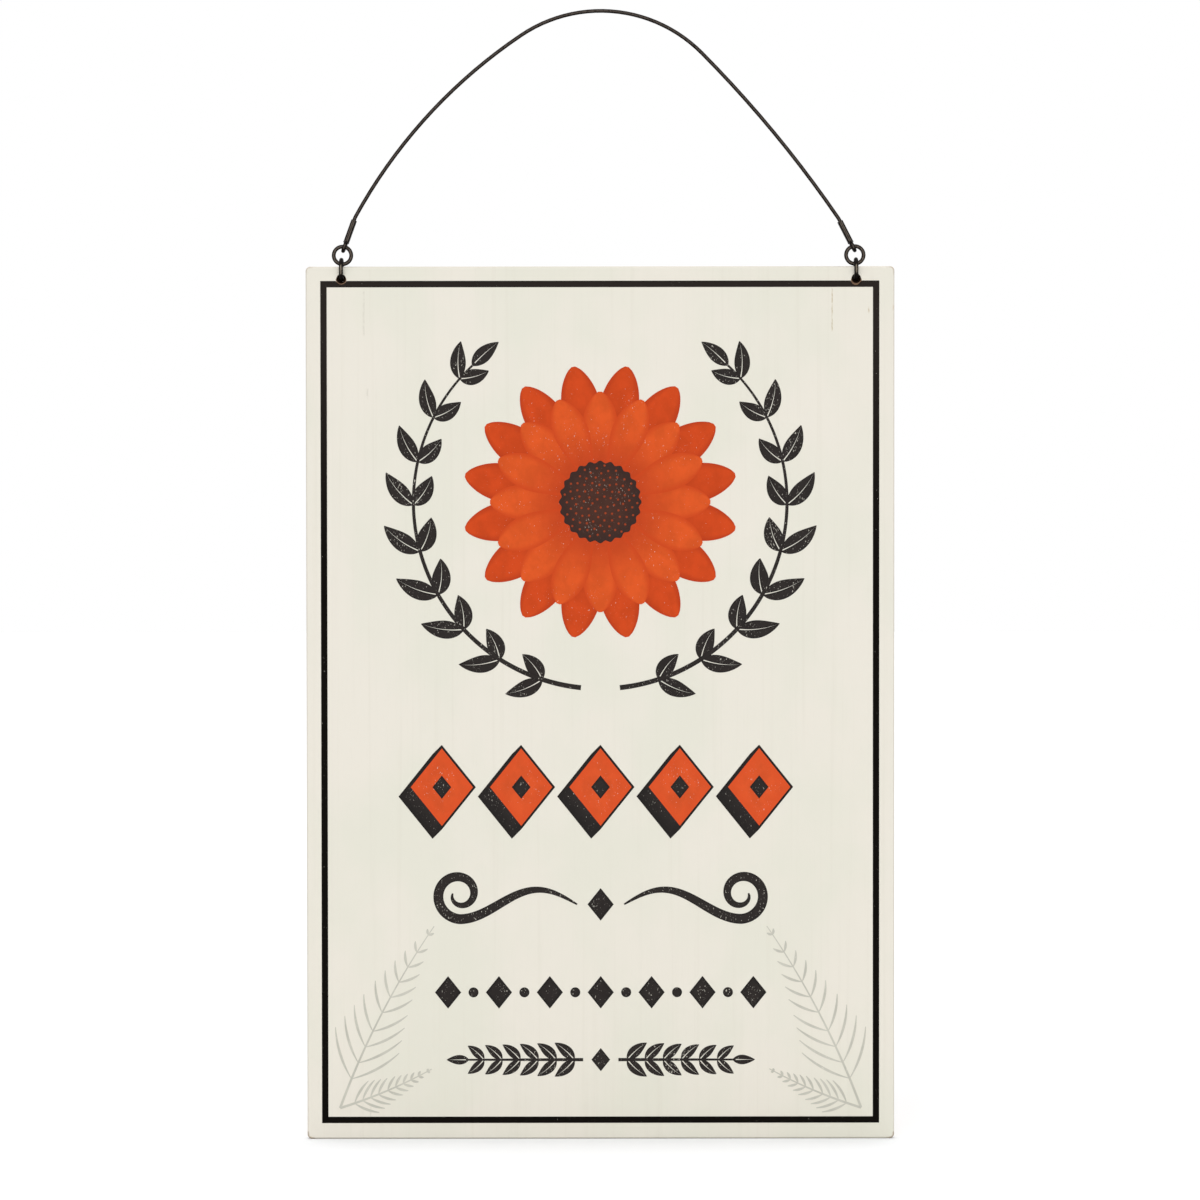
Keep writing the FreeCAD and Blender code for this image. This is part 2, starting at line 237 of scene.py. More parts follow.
def bare_wood(tree, place, x, z):
    """Flat-sawn wood: ring number = RINGS_PER_MM sqrt((x + wander)^2 + depth^2), then fine grain and pores."""
    wander = noise(tree, place, (150, 150, 170), 2.0, 0.45)
    wander = calc(tree, "MULTIPLY_ADD", wander, PITH_WANDER, PITH_SIDE)
    wave = noise(tree, place, (60, 60, 130), 2.0, 0.5, shift=(0.3, 0.0, 0.2))
    depth = calc(tree, "MULTIPLY_ADD", z, PITH_TILT, PITH_DEPTH)
    depth = calc(tree, "MULTIPLY_ADD", wave, PITH_WAVE, depth)
    ring_place = span(tree, calc(tree, "ADD", x, wander), depth)
    rings = calc(tree, "FRACT", product(tree, ring_place, RINGS_PER_MM))
    late = product(tree, step(tree, rings, 0.3, 0.92), step(tree, rings, 1.0, 0.93))
    grain = noise(tree, place, (1.1, 1.1, 60), 4.0, 0.65)
    pores = noise(tree, place, (0.28, 0.28, 7.0), 2.0, 0.6)
    wood = mix(tree, step(tree, grain, 0.35, 0.68), WOOD_PALE, WOOD_TAN)
    wood = mix(tree, product(tree, late, 0.5), wood, LATE_WOOD)
    return mix(tree, step(tree, pores, 0.58, 0.72, 0.0, 0.45), wood, PORE)


def painted_wood():
    """Off-white paint over wood, rubbed at the corners and bare at the back, with painted shade in the holes, on the
    eased edges and at the foot.
    """
    finish, tree, place, (x, y, z) = new_finish("painted_wood_finish")
    # Paint: clouds, streaks with the grain, and a fine tooth
    clouds = noise(tree, place, (38, 38, 52), 3.0, 0.55)
    streaks = noise(tree, place, (1.7, 1.7, 110), 3.0, 0.6)
    tooth = noise(tree, place, (0.5, 0.5, 5.0), 3.0, 0.6)
    paint = mix(tree, step(tree, clouds, 0.35, 0.65), PAINT_WARM, PAINT_COOL)
    paint = mix(tree, step(tree, streaks, 0.5, 0.8, 0.0, 0.22), paint, PAINT_STREAK)
    paint = mix(tree, step(tree, tooth, 0.55, 0.8, 0.0, 0.18), paint, PAINT_TOOTH)
    wood = bare_wood(tree, place, x, z)
    # Rubbed places: near a corner, and in spots along the eased edges
    from_side = calc(tree, "SUBTRACT", HALF_WIDTH, calc(tree, "ABSOLUTE", x))
    from_middle = calc(tree, "ABSOLUTE", calc(tree, "SUBTRACT", z, MIDDLE_Z))
    from_end = calc(tree, "SUBTRACT", HALF_HEIGHT, from_middle)
    corner = calc(tree, "ADD", from_side, from_end)
    chips = noise(tree, place, (1.6, 1.6, 1.6), 4.0, 0.65)
    rubbed = step(tree, calc(tree, "MULTIPLY_ADD", chips, 4.5, corner), 4.1, 3.0, 0.0, 0.6)
    legs = [strongest(tree, calc(tree, "SUBTRACT", CORNER_RADIUS, leg), 0.0) for leg in (from_side, from_end)]
    edge = calc(tree, "SUBTRACT", CORNER_RADIUS, span(tree, *legs))
    spots = noise(tree, place, (7.0, 2.0, 9.0), 3.0, 0.6, shift=(3.1, 0.0, 1.7))
    thin = product(tree, step(tree, edge, 0.75, 0.2), step(tree, spots, 0.67, 0.75, 0.0, 0.8))
    worn_and_hole_shade = strongest(tree, rubbed, thin)
    # Drilled holes: painted shade inside, near black, and bare below, where the drill tore the paint, more so at the
    # right
    for (hole_x, hole_z), drop in zip(HOLES, TORN):
        torn = calc(tree, "MULTIPLY_ADD", chips, 0.8, gap(tree, x, z, (hole_x, hole_z - drop)))
        torn = step(tree, torn, 2.3, 2.12)
        wood = mix(tree, torn, wood, mix(tree, chips, TORN_DARK, TORN_PALE))
        hole_shade = step(tree, gap(tree, x, z, (hole_x, hole_z + 0.03)), 1.7, 1.52)
        wood = mix(tree, hole_shade, wood, HOLE_PAINTED_SHADE)
        worn_and_hole_shade = strongest(tree, worn_and_hole_shade, torn, hole_shade)
    # Cracks and small marks
    tan = product(tree, strongest(tree, *[hairline(tree, place, x, z, *mark) for mark in TAN_MARKS]), 0.68)
    grey = product(tree, strongest(tree, *[hairline(tree, place, x, z, *mark) for mark in GREY_MARKS]), 0.4)
    paint = mix(tree, grey, paint, MARK_GREY)
    paint = mix(tree, tan, paint, MARK_TAN)
    # Back: unpainted, with an uneven paint line on its rounded edge
    ragged = calc(tree, "MULTIPLY_ADD", noise(tree, place, (5, 5, 5), 3.0), 0.5, y)
    bare_and_painted_light = strongest(tree, step(tree, ragged, BACK_Y + 0.02, BACK_Y + 0.12), worn_and_hole_shade)
    colour = mix(tree, bare_and_painted_light, paint, wood)
    # Painted shade: a thin darker line on the eased edges, and a darker one at the foot on which the sign stands
    colour = mix(tree, step(tree, edge, 0.6, 0.1, 0.0, 0.38), colour, RIM_PAINTED_SHADE)
    colour = mix(tree, step(tree, z, FOOT_Z + 0.75, FOOT_Z + 0.2, 0.0, 0.3), colour, FOOT_PAINTED_SHADE)
    # At the corners the line is brown, and most so at the lower ones
    at_corner = step(tree, calc(tree, "MULTIPLY_ADD", chips, 3.5, corner), 5.2, 3.6)
    low_down = step(tree, z, -150.0, -330.0, 0.28, 0.72)
    brown = product(tree, at_corner, step(tree, edge, 0.8, 0.25), low_down)
    colour = mix(tree, brown, colour, CORNER_BROWN)
    # Relief: streaks under the paint, and the paint's own thickness at a rubbed place
    relief = calc(tree, "MULTIPLY_ADD", streaks, 0.45, product(tree, tooth, 0.3))
    relief = calc(tree, "SUBTRACT", relief, product(tree, bare_and_painted_light, 0.5))
    relief = calc(tree, "SUBTRACT", relief, product(tree, tan, 0.7))
    roughness = step(tree, calc(tree, "ADD", bare_and_painted_light, product(tree, clouds, 0.4)), 0.0, 1.2, 0.5, 0.78)
    close_finish(tree, colour, roughness, relief, 0.03, Specular_IOR_Level=0.35)
    return finish


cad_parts["sign_board"].material_slots[0].material = painted_wood()
print("board painted:", round(2 * HALF_WIDTH, 1), "by", round(2 * HALF_HEIGHT, 1), "mm")

# %% [markdown]
# ## Dark bronze wire
# The hanger, the sleeves, the rings and the links are steel, browned until almost black. On the faces turned to
# the front and the back a lighter grey tone is painted: partly rubbed flecks, and partly a painted highlight for the
# sheen of the light along the wire; between them it stays dark. The surface's own direction tells the two apart.
# One recipe serves all four, with its own tone for each.

# %% Browned metal finishes
# Nodes, tone of the film, tone where it is rubbed and carries a painted highlight, and how much is added to that
# share
METALS = {
    "wire": (("hanger_wire",), (20, 14, 12), (84, 76, 70), 0.0),
    "ring": (("ring_left", "ring_right"), (18, 12, 10), (102, 92, 84), 0.0),
    # The links' light rubbed tone is mostly a painted glint where their front faces the light.
    "link": (("link_left", "link_right"), (18, 12, 10), (138, 128, 114), 0.0),
    "sleeve": (("ferrule_left", "ferrule_right"), (24, 18, 16), (104, 95, 87), 0.06),
}


def browned_metal(name, dark, rubbed, share):
    """Dark brown film on steel, clouded, with rubbed flecks and painted highlight front and back; share adds to
    both.
    """
    finish, tree, place, _ = new_finish(name)
    clouds = noise(tree, place, (2.6, 2.6, 2.6), 4.0, 0.6)
    flecks = noise(tree, place, (0.55, 0.55, 0.9), 4.0, 0.7)
    drawn = noise(tree, place, (0.16, 0.16, 0.5), 2.0, 0.6)
    film = mix(tree, step(tree, clouds, 0.3, 0.7), dark, darker(dark, 0.62))
    # Painted highlight: faces turned to the front or back take the lighter rubbed tone, as the light's sheen would
    # show there.
    facing = put(tree, "ShaderNodeSeparateXYZ", {0: put(tree, "ShaderNodeTexCoord", out="Normal")}, out="Y")
    painted_highlight_face = step(tree, calc(tree, "ABSOLUTE", facing), 0.62, 0.985)
    bare_and_painted_light = calc(tree, "MULTIPLY_ADD", flecks, 0.7, painted_highlight_face)
    bare_and_painted_light = step(tree, bare_and_painted_light, 1.15 - share, 1.45 - share, 0.0, 0.9)
    # The rubbed tone here is partly worn steel and partly a painted highlight.
    colour = mix(tree, bare_and_painted_light, film, rubbed)
    roughness = step(tree, calc(tree, "SUBTRACT", flecks, product(tree, bare_and_painted_light, 0.3)), 0.2, 0.8, 0.36, 0.6)
    relief = calc(tree, "MULTIPLY_ADD", drawn, 0.5, product(tree, clouds, 0.5))
    close_finish(tree, colour, roughness, relief, 0.012, Metallic=0.35, Specular_IOR_Level=0.07)
    return finish


for metal, (nodes, dark, rubbed, share) in METALS.items():
    metal_finish = browned_metal(f"dark_{metal}_finish", paint_code(*dark), paint_code(*rubbed), share)
    for node in nodes:
        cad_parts[node].material_slots[0].material = metal_finish
print("browned", sum(len(row[0]) for row in METALS.values()), "metal pieces")

# %% [markdown]
# ## Films of ink
# A print is a film of ink a few hundredths of a millimetre thick. It could be drawn into the paint's finish,
# but then its edges are only as sharp as the finish is baked. Here each printed shape is a thin closed
# film that lies on the board. Two surfaces make them all. A band lies between two edge lines: its grid runs
# along the lines, and across from one to the other. A blot lies round a middle: its grid runs round the
# outline, and out from the middle to it. Both keep two numbers for the ink finish: how near a point is
# to the rim, and how far it is along the shape.

# %% Film surfaces
INK_LIFT = 0.05
INK_SINK = 0.01


def rays(angles, mirror=1):
    """Unit steps in the plane of the board: (cos t, sin t), or (-cos t, sin t) in a mirror."""
    return np.stack([mirror * np.cos(angles), np.sin(angles)], axis=1)


def quads_of(i, j, after, beside, ring):
    """Four-sided faces of a grid with ring points in each row, from a point's row and place and the next ones."""
    corners = [i * ring + j, i * ring + beside, after * ring + beside, after * ring + j]
    return np.stack(corners, axis=-1).reshape(-1, 4).tolist()


def band(edge_a, edge_b, layer=1, closed=False, across=5, depths=None):
    """Film between two edge lines: point(u, v) = (1 - v) a(u) + v b(u), lifted off the face by the layer.

    The section at each u is the lifted row and the two sunk edge points, so the film is closed all round.
    depths gives the row and the sunk points their own distances behind the board's face."""
    lift, sink = depths or (-INK_LIFT * layer, INK_SINK)
    v = np.linspace(0, 1, across)
    rows, ring = len(edge_a), across + 2
    points = np.empty((rows, ring, 3))
    points[:, :across, ::2] = edge_a[:, None] * (1 - v)[None, :, None] + edge_b[:, None] * v[None, :, None]
    points[:, across:, ::2] = np.stack([edge_b, edge_a], axis=1)
    points[:, :across, 1] = FACE_Y + lift
    points[:, across:, 1] = FACE_Y + sink
    rim = np.tile(np.append(np.abs(2 * v - 1), [1, 1]), (rows, 1))
    along = np.tile(np.linspace(0, 1, rows)[:, None], (1, ring))
    i = np.arange(rows if closed else rows - 1)[:, None]
    j = np.arange(ring)[None, :]
    faces = quads_of(i, j, (i + 1) % rows, (j + 1) % ring, ring)
    if not closed:
        faces += [list(range(ring)), list(range((rows - 1) * ring, rows * ring))]
    return points.reshape(-1, 3), faces, rim.ravel(), along.ravel()


def stroke(path, half_width, layer=1, across=5):
    """Band whose edges lie half_width(u) to each side of a path, measured square to it."""
    way = np.gradient(path, axis=0)
    way /= np.linalg.norm(way, axis=1, keepdims=True)
    side = np.stack([-way[:, 1], way[:, 0]], axis=1) * half_width[:, None]
    return band(path + side, path - side, layer, across=across)


def blot(middle, outline, layer=1, rings=(0.35, 0.7, 0.92, 1.0)):
    """Film round a middle: point(r, t) = middle + r (outline(t) - middle), closed below by a sunk copy."""
    count = len(outline)
    share = np.asarray(rings)
    lifted, sunk = FACE_Y - INK_LIFT * layer, FACE_Y + INK_SINK
    points = np.empty((len(rings) + 1, count, 3))
    points[:-1, :, ::2] = middle + share[:, None, None] * (outline - middle)
    points[-1, :, ::2] = outline
    points[:-1, :, 1] = lifted
    points[-1, :, 1] = sunk
    poles = np.array([[middle[0], lifted, middle[1]], [middle[0], sunk, middle[1]]])
    i = np.arange(len(rings))[:, None]
    j = np.arange(count)[None, :]
    beside = (j + 1) % count
    faces = quads_of(i, j, i + 1, beside, count)
    last = len(rings) * count
    top, low = np.full(count, last + count), np.full(count, last + count + 1)
    j, beside = j.ravel(), beside.ravel()
    faces += np.stack([top, beside, j], axis=1).tolist()
    faces += np.stack([low, last + j, last + beside], axis=1).tolist()
    rim = np.append(np.repeat(np.append(share, 1.0), count), [0, 1])
    turn = np.append(np.tile(np.linspace(0, 1, count, endpoint=False), len(rings) + 1), [0, 0])
    return np.concatenate([points.reshape(-1, 3), poles]), faces, rim, turn


def print_films(name, films, finish):
    """All films of one ink as one piece, printed on the board."""
    starts = np.cumsum([0] + [len(film[0]) for film in films])
    points = np.concatenate([film[0] for film in films]) * MM
    faces = [[int(start) + corner for corner in face] for start, film in zip(starts, films) for face in film[1]]
    mesh = bpy.data.meshes.new(name)
    mesh.from_pydata(points.tolist(), [], faces)
    for number, label in ((2, "rim"), (3, "along")):
        field = mesh.attributes.new(label, "FLOAT", "POINT")
        field.data.foreach_set("value", np.concatenate([film[number] for film in films]).astype(np.float32))
    shell = bmesh.new()
    shell.from_mesh(mesh)
    bmesh.ops.recalc_face_normals(shell, faces=shell.faces)
    shell.to_mesh(mesh)
    shell.free()
    mesh.materials.append(finish)
    piece = bpy.data.objects.new(name, mesh)
    bpy.context.scene.collection.objects.link(piece)
    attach(piece, "board")
    print(name, "-", len(films), "films,", len(mesh.polygons), "faces")


print("each layer of ink lies", INK_LIFT, "mm above the last")

# %% [markdown]
# ## Inks
# Each ink is a little darker at its rim, where it was squeezed to the edge of the screen, and a little paler
# inside. It is worn: small flecks and scratches have come off, most of them away from the rim, and show
# the paint beneath. `deep` is the tone at the root of a shape, for a petal that shades from root to tip.

# %% Ink finishes
PAINT_BENEATH = paint_code(226, 222, 209)
TOP_TONE_START, TOP_TONE_END = -190.0, -92.0


def ink(name, body, rim_tone, fleck_share, deep=None, top_tone=None, shine=0.12):
    """A worn film of ink; fleck_share sets how much has come off, and top_tone is its lighter tone near the board's
    top.
    """
    finish, tree, place, (_, _, z) = new_finish(name)
    rim = put(tree, "ShaderNodeAttribute", out="Fac", attribute_name="rim")
    clouds = noise(tree, place, (5.0, 5.0, 6.0), 4.0, 0.6)
    streaks = noise(tree, place, (0.6, 0.6, 9.0), 3.0, 0.6)
    colour = mix(tree, step(tree, clouds, 0.3, 0.7), body, darker(body, 0.86))
    if deep:
        along = put(tree, "ShaderNodeAttribute", out="Fac", attribute_name="along")
        colour = mix(tree, step(tree, along, 0.05, 0.75, 0.85, 0.0), colour, deep)
    colour = mix(tree, step(tree, rim, 0.55, 1.0, 0.0, 0.8), colour, rim_tone)
    if top_tone:
        colour = mix(tree, step(tree, z, TOP_TONE_START, TOP_TONE_END), colour, top_tone)
    specks = noise(tree, place, (0.42, 0.42, 0.8), 3.0, 0.62)
    regions = noise(tree, place, (9.0, 9.0, 14.0), 2.0, 0.5, shift=(7.0, 0.0, 3.0))
    limit = calc(tree, "MULTIPLY_ADD", regions, -0.22, 0.80 - fleck_share)
    lost = step(tree, calc(tree, "SUBTRACT", specks, limit), 0.0, 0.05)
    lost = product(tree, lost, step(tree, rim, 0.95, 0.6))
    colour = mix(tree, product(tree, lost, 0.7), colour, PAINT_BENEATH)
    relief = calc(tree, "SUBTRACT", product(tree, streaks, 0.5), product(tree, lost, 0.5))
    roughness = step(tree, calc(tree, "MULTIPLY_ADD", lost, 0.3, clouds), 0.2, 1.0, 0.5, 0.7)
    close_finish(tree, colour, roughness, relief, 0.015, Specular_IOR_Level=shine)
    return finish


black_ink = ink("black_ink", paint_code(43, 38, 36), paint_code(28, 25, 24), 0.05)
# The border line turns lighter towards the board's top.
line_top_tone = paint_code(42, 37, 34)
line_ink = ink("line_ink", paint_code(15, 12, 9), paint_code(12, 9, 7), -0.03, top_tone=line_top_tone, shine=0.03)
orange_root, deep_root = paint_code(186, 58, 22), paint_code(150, 46, 20)
orange_ink = ink("orange_ink", paint_code(228, 90, 34), paint_code(206, 70, 24), 0.0, orange_root)
deep_orange_ink = ink("deep_orange_ink", paint_code(214, 74, 24), paint_code(184, 58, 20), 0.0, deep_root)
flat_orange_ink = ink("flat_orange_ink", paint_code(227, 88, 40), paint_code(222, 82, 36), 0.02)
brown_ink = ink("brown_ink", paint_code(74, 45, 36), paint_code(52, 36, 32), 0.02)
rust_ink = ink("rust_ink", paint_code(158, 66, 34), paint_code(130, 52, 31), 0.0)
grey_ink = ink("grey_ink", paint_code(208, 206, 194), paint_code(214, 211, 200), 0.04)
print("eight inks mixed")

# %% [markdown]
# ## Torn fibres in the holes
# A drill cuts the front of a board cleanly, but inside it tears the wood, and a fringe of fibres stays standing
# there.
# Its near-black colour is painted shade: it stands for the shade deep in the hole, and it closes the view past
# the link. A dark spot could be painted round the hole, but the hole itself goes right through. So each hole has two
# fringes, one halfway in and one near the back. A fringe is a band between the hole's wall and a ragged U that keeps
# clear of the link's wire. The link turns about its own middle, so its wire stays in the same U as it swings.

# %% Torn fibres
HOLE_RADIUS = 1.5
FRINGE_ROOT = HOLE_RADIUS + 0.04
FRINGE_TOP = 1.1 * HOLE_RADIUS
FRINGE_GAP = 0.73
FRINGE_RAGGED = 0.012
FRINGE_FROM, FRINGE_TO = -238, 58
# Height of the U's middle above the hole's, and the fringe's two depths behind the board's face
FRINGES = ((-0.21, (1.7, 2.3)), (-0.12, (2.9, 3.4)))


def fringe(hole, rise, depths):
    """Band from the wall, hole + R (cos t, sin t), in to a U: half a circle round the link's wire, upright above."""
    t = np.radians(np.linspace(FRINGE_FROM, FRINGE_TO, 120))
    ray = rays(t)
    inner = FRINGE_GAP * (1 + FRINGE_RAGGED * np.abs(np.sin(17 * t + hole[0]) + np.sin(29 * t)))
    below = ray[:, 1] < 0
    across = inner * np.where(below, ray[:, 0], np.sign(ray[:, 0]))
    along = rise + np.where(below, inner, FRINGE_TOP) * ray[:, 1]
    middle = np.array(hole)
    return band(middle + FRINGE_ROOT * ray, middle + np.stack([across, along], axis=1), across=4, depths=depths)


fibre_shade_finish, tree, place, _ = new_finish("torn_fibres_painted_shade")
strands = noise(tree, place, (0.12, 0.5, 0.9), 3.0, 0.6)
# The fibres' near-black colour is painted shade for the inside of the hole.
fibre_painted_shade = mix(tree, strands, paint_code(24, 15, 10), paint_code(56, 36, 23))
close_finish(tree, fibre_painted_shade, 0.85, strands, 0.05, Specular_IOR_Level=0.1)
print_films("torn_fibres_painted_shade", [fringe(hole, *shape) for hole in HOLES for shape in FRINGES], fibre_shade_finish)

# %% [markdown]
# ## Border line
# A plain black line runs round the front, about five millimetres in from the edge. The holes were drilled after
# printing, so each one bites a notch out of the top line. The line is one closed band: its outer edge and its
# inner edge are two rectangles, walked round with equally many points, and the outer one dips round the holes.

# %% Border line
LINE_LEFT, LINE_RIGHT, LINE_TOP, LINE_LOW = -95.0, 94.85, -90.9, -377.6
LINE_WIDTH = 2.16
SIDE_POINTS = 800
# Radius of each notch, and how far its middle lies below the hole's
NOTCHES = ((1.92, 0.02), (1.85, 0.4))
NOTCH_RAGGED = 0.08


def edge_points(corners, each=12):
    """Points walked round straight sides, evenly spaced on each side."""
    share = np.linspace(0, 1, each, endpoint=False)
    after = np.roll(corners, -1, axis=0)
    return (corners[:, None] * (1 - share)[None, :, None] + after[:, None] * share[None, :, None]).reshape(-1, 2)


def border_line():
    """Band between two rectangles; near a hole the outer top edge dips round a ragged circle a little below it."""
    corners = np.array(
        [(LINE_LEFT, LINE_TOP), (LINE_RIGHT, LINE_TOP), (LINE_RIGHT, LINE_LOW), (LINE_LEFT, LINE_LOW)]
    )
    inset = np.array([(1, -1), (-1, -1), (-1, 1), (1, 1)]) * LINE_WIDTH
    outer, inner = edge_points(corners, SIDE_POINTS), edge_points(corners + inset, SIDE_POINTS)
    top = slice(0, SIDE_POINTS)
    for (hole_x, hole_z), (radius, drop) in zip(HOLES, NOTCHES):
        across = outer[top, 0] - hole_x
        reach = np.sqrt(np.clip(radius**2 - across**2, 0, None)) + NOTCH_RAGGED * np.sin(9 * across)
        dipped = np.minimum(outer[top, 1], hole_z - drop - reach)
        outer[top, 1] = np.where(np.abs(across) < radius, dipped, outer[top, 1])
    return band(outer, inner, closed=True)


print_films("border_line", [border_line()], line_ink)

# %% [markdown]
# ## Flower
# The large print is a round flower in two rows of petals. A petal is a band along a straight ray: its half width
# rises from a narrow root to a belly and closes in a rounded tip. The back row is printed first, in the deeper
# orange, and the front row lies over it, turned by half a petal. Seeds fill the brown middle. Each next seed
# is turned by the golden angle and set a little further out, which packs them evenly.

# %% Flower petals and seeds
FLOWER = np.array((0.0, -166.0))
FLOWER_RADIUS = 47.0
PETALS = 16
# Root, tip and belly of a petal
BACK_PETAL = (0.16 * FLOWER_RADIUS, FLOWER_RADIUS, 6.6)
FRONT_PETAL = (0.14 * FLOWER_RADIUS, 0.8 * FLOWER_RADIUS, 5.9)
HEART = 0.29 * FLOWER_RADIUS
FRILLS, FRILL_DEPTH = 24, 0.03
SEEDS, SEED_RADIUS, SEED_REACH = 90, 0.42, 0.93 * HEART
GOLDEN_ANGLE = math.pi * (3 - math.sqrt(5))
# Points of a full circle; a small round shape takes only every so many of them
CIRCLE_POINTS, SEED_EVERY, BEAD_EVERY = 384, 32, 16


def petal(turn, root, tip, belly, layer):
    """Band along a ray from root to tip; half width = belly sin(pi u^1.5)^0.62 with u from 0 to 1."""
    u = np.linspace(0.012, 0.995, 40)
    half_width = belly * np.sin(np.pi * u**1.5) ** 0.62
    ray = np.array((math.cos(turn), math.sin(turn)))
    path = FLOWER + np.outer(root + (tip - root) * u, ray)
    return stroke(path, half_width, layer, across=9)


turns = np.arange(PETALS) * 2 * math.pi / PETALS
back_row = [petal(t + math.pi / PETALS, *BACK_PETAL, 1) for t in turns]
front_row = [petal(t, *FRONT_PETAL, 2 + 0.25 * (k % 2)) for k, t in enumerate(turns)]
print_films("flower_back_petals", back_row, deep_orange_ink)
print_films("flower_front_petals", front_row, orange_ink)

circle = np.linspace(0, 2 * math.pi, CIRCLE_POINTS, endpoint=False)
ring_of_points = rays(circle)
frill = HEART * (1 + FRILL_DEPTH * np.cos(FRILLS * circle))
print_films("flower_heart", [blot(FLOWER, FLOWER + ring_of_points * frill[:, None], 3)], brown_ink)
number = np.arange(1, SEEDS)
seed_out = SEED_REACH * np.sqrt(number / SEEDS)
seed_at = FLOWER + rays(number * GOLDEN_ANGLE) * seed_out[:, None]
seed_ring = SEED_RADIUS * ring_of_points[::SEED_EVERY]
print_films("flower_seeds", [blot(spot, spot + seed_ring, 4, (1.0,)) for spot in seed_at], rust_ink)

# %% [markdown]
# ## Leaf branches
# Two black branches bend round the flower from below. A branch is a tapered stroke along an arc, and its leaves
# stand off it in pairs. A leaf is a stroke along a slightly bent midline, with the same kind of width rule as a
# petal. Each leaf is cut in two by a thin bare midrib, so it is made as two bands, one on each side of the rib.

# %% Leaf branches
BRANCH_RADIUS = 63.5
BRANCH_FROM, BRANCH_TO = -84, 48
STEM_LAYER = 1.3
LEAF_PAIRS = 9
LEAF_BELLY = 3.2
BRANCH_TAPER = (0.85, 0.35)
# Side of the branch, length and lean of its leaves
BRANCH_LEAVES = ((-1, 15.5, math.radians(40)), (1, 12.5, math.radians(34)))
# Length and belly of the leaf at its tip
BRANCH_TIP = (12.0, 2.6)


def bent_path(foot, curve, length, mirror=1):
    """Points from the foot on: each step goes the way that curve gives, and all steps together measure length."""
    steps = rays(curve, mirror) * length / (len(curve) - 1)
    return foot + np.cumsum(steps, axis=0) - steps[0]


def leaf(foot, heading, length, belly, bend):
    """Two bands beside a bent midline; half width = belly sin(pi u^0.8)^0.85, less a bare rib in the middle."""
    u = np.linspace(0.0, 1.0, 36)
    curve = heading + bend * (u - 0.5)
    path = bent_path(foot, curve, length)
    side = np.stack([-np.sin(curve), np.cos(curve)], axis=1)
    half_width = 0.02 + belly * np.sin(np.pi * np.clip(u, 0.004, 0.996) ** 0.8) ** 0.85
    rib = np.minimum(0.2 * (1 - u), 0.5 * half_width)
    return [band(path + side * (s * rib)[:, None], path + side * (s * half_width)[:, None]) for s in (1, -1)]


def branch(side):
    """A tapered arc round the flower and pairs of leaves along it, longest in the middle."""
    angle = np.radians(np.linspace(BRANCH_FROM, BRANCH_TO, 120))
    path = FLOWER + BRANCH_RADIUS * rays(angle, side)
    films = [stroke(path, np.linspace(*BRANCH_TAPER, len(path)), STEM_LAYER)]
    for share in np.linspace(0.1, 0.95, LEAF_PAIRS):
        k = int(share * (len(path) - 1))
        size = 1 - 0.35 * abs(share - 0.45)
        for out, length, lean in BRANCH_LEAVES:
            heading = angle[k] + math.pi / 2 + out * lean
            if side < 0:
                heading = math.pi - heading
            films += leaf(path[k], heading, length * size, LEAF_BELLY * size, -side * out * 0.5)
    tip_heading = angle[-1] + math.pi / 2
    if side < 0:
        tip_heading = math.pi - tip_heading
    return films + leaf(path[-2], tip_heading, *BRANCH_TIP, 0.2 * side)


print_films("leaf_branches", branch(1) + branch(-1), black_ink)

# %% [markdown]
# ## Lozenges with a drop shade
# Below the flower is a row of five orange lozenges, each with a black stud in its middle. A black outline and a
# black drop shade to the left and below make the flat shape stand out, as sign painters do it. The shade is the
# outline's own shape carried along a short slant: the outer edge of all its places, which has six corners.

# %% Lozenges
LOZENGE_Z = -263.0
LOZENGE = np.array([(0.0, 13.2), (10.6, 0.0), (0.0, -13.2), (-10.6, 0.0)])
LOZENGES, LOZENGE_SPREAD = 5, 54.0
SHADE = np.array((-3.2, -3.2))
OUTLINE_SCALE = 1.09
STUD_SCALE = 0.3


def lozenge(middle, scale=1.0, layer=1):
    """A blot with the lozenge's four corners, drawn to a scale."""
    return blot(middle, edge_points(middle + scale * LOZENGE), layer)


spread = np.linspace(-LOZENGE_SPREAD, LOZENGE_SPREAD, LOZENGES)
middles = [np.array((lozenge_x, LOZENGE_Z)) for lozenge_x in spread]
top, right_tip, low, left_tip = LOZENGE * OUTLINE_SCALE
swept = np.array([top, right_tip, low, low + SHADE, left_tip + SHADE, top + SHADE])
shade_films = [blot(middle + SHADE / 2, edge_points(middle + swept)) for middle in middles]
print_films("lozenge_shades", shade_films, black_ink)
print_films("lozenges", [lozenge(middle, layer=2) for middle in middles], flat_orange_ink)
print_films("lozenge_studs", [lozenge(middle, STUD_SCALE, 3) for middle in middles], black_ink)

# %% [markdown]
# ## Scroll and beads
# A pair of black scrolls comes next, with a row of beads under it. A scroll is a stroke along a wave and then a
# spiral, whose radius shrinks evenly as it turns. It is thick in the middle of its run and thin at both ends.

# %% Scroll and beads
SCROLL_Z = -303.0
SCROLL_START, SCROLL_RUN, SCROLL_WAVE = 8.0, 40.0, 5.0
CURL_RADIUS, CURL_SHRINK = 8.4, 0.72
BEAD_Z = -333.0
BEADS, BEAD_SPREAD = 13, 52
BEAD_SCALE, BEAD_RADIUS = 0.42, 1.7


